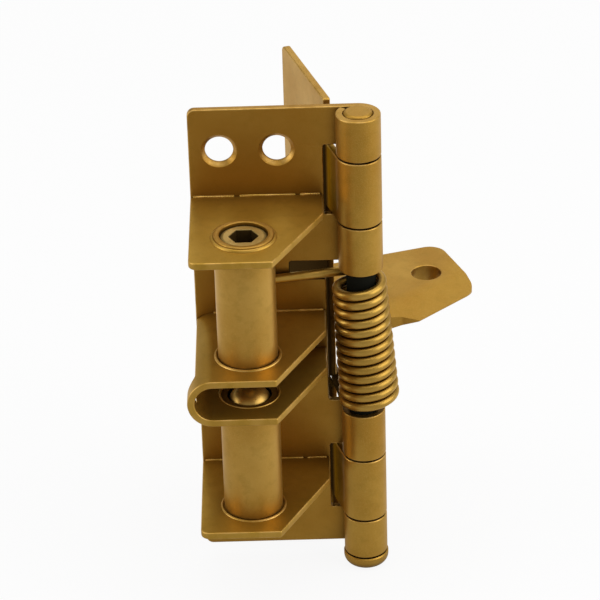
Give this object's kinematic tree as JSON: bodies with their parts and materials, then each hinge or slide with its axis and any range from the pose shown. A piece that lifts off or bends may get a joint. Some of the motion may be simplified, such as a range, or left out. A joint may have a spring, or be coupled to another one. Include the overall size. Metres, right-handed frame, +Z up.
{
  "type": "spring hinge",
  "caption": "Self-closing door hinge with a coil spring on its pin and a tongue that turns into a fork, where sprung balls hold the leaf open.",
  "frame": {"origin": "centre of the fixed leaf's four screw holes, in its back face", "axes": "+Z up along the hinge pin, +Y out of the fixed leaf's back face, +X towards the pin"},
  "size_m": [0.0789, 0.08, 0.1422],
  "materials": {
    "painted_sheet": "bronze-gold paint, satin",
    "painted_tube": "bronze-gold paint, satin",
    "adjusting_screw": "bronze-gold paint over steel",
    "spring_wire": "bronze-gold over bright wire",
    "ball": "bronze-gold over a polished steel ball",
    "pin": "bronze-gold paint, satin"
  },
  "bodies": {
    "fixed_side": {"fixed_leaf": "painted_sheet", "upper_flange": "painted_sheet", "lower_flange": "painted_sheet", "fork_bracket": "painted_sheet", "upper_tube": "painted_tube", "lower_tube": "painted_tube", "upper_adjusting_screw": "adjusting_screw", "lower_adjusting_screw": "adjusting_screw", "upper_detent_spring": "spring_wire", "lower_detent_spring": "spring_wire", "hinge_pin": "pin", "torsion_spring": "spring_wire"},
    "swing_side": {"swing_leaf": "painted_sheet", "detent_tongue": "painted_sheet"},
    "upper_ball": {"upper_ball": "ball"},
    "lower_ball": {"lower_ball": "ball"}
  },
  "joints": [
    {"name": "swing", "type": "hinge", "parent": "fixed_side", "child": "swing_side", "pos_m": [0.0295, -0.00605, 0], "axis": [0, 0, -1], "range_deg": [-5, 206.89], "stiffness_Nm_per_rad": 0.88, "deforming": ["torsion_spring"]},
    {"name": "upper_ball_travel", "type": "slide", "parent": "fixed_side", "child": "upper_ball", "axis": [0, 0, -1], "range_m": [-0.0006, 0.0014], "stiffness_N_per_m": 5000, "springref_m": 0.0014, "deforming": ["upper_detent_spring"]},
    {"name": "lower_ball_travel", "type": "slide", "parent": "fixed_side", "child": "lower_ball", "axis": [0, 0, 1], "range_m": [-0.0006, 0.0014], "stiffness_N_per_m": 5000, "springref_m": 0.0014, "deforming": ["lower_detent_spring"]}
  ]
}
